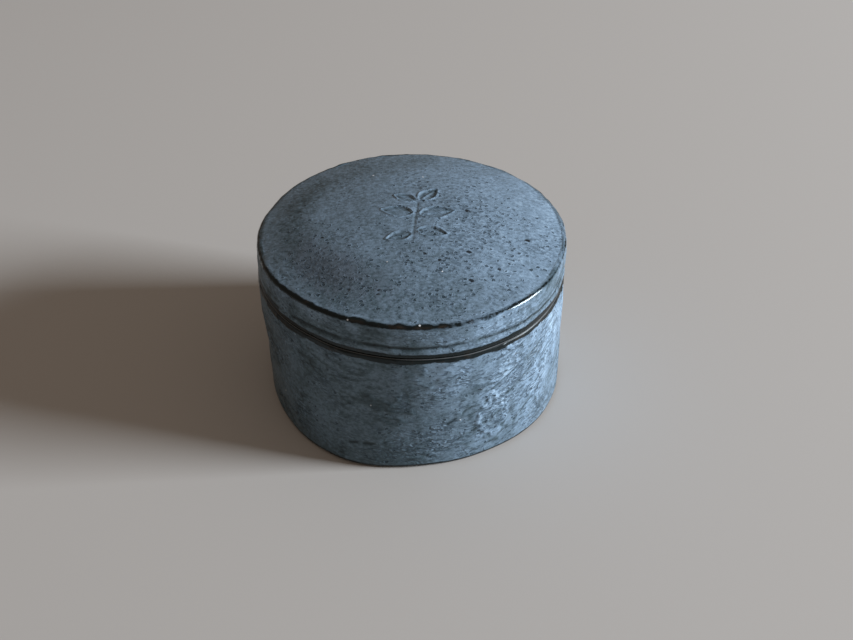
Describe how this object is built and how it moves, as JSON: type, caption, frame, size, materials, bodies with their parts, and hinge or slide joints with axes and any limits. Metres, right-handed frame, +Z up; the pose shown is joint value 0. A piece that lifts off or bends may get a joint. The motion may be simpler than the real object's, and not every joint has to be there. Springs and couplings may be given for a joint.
{
  "type": "lidded ceramic jar",
  "caption": "Small round hand-made stoneware jar with a straight side, a raised collar and a loose domed lid that fits over the collar flush with the side.",
  "frame": {"origin": "centre of the foot, on the surface that the jar stands on", "axes": "+Z up along the jar's axis, towards the lid; +X and +Y are level, and the part is round about +Z"},
  "size_m": [0.092, 0.092, 0.0584],
  "materials": {
    "jar_glaze": "satin blue-grey glaze over dark stoneware, with bare clay on the collar, the seat and the foot",
    "lid_glaze": "satin blue-grey glaze over dark stoneware, broken to dark brown at its edges"
  },
  "bodies": {
    "jar": {"jar_body": "jar_glaze"},
    "lid": {"lid": "lid_glaze"}
  },
  "joints": [
    {"name": "lid_lift", "type": "slide", "parent": "jar", "child": "lid", "axis": [0, 0, 1], "range_m": [0, 0.05]}
  ]
}
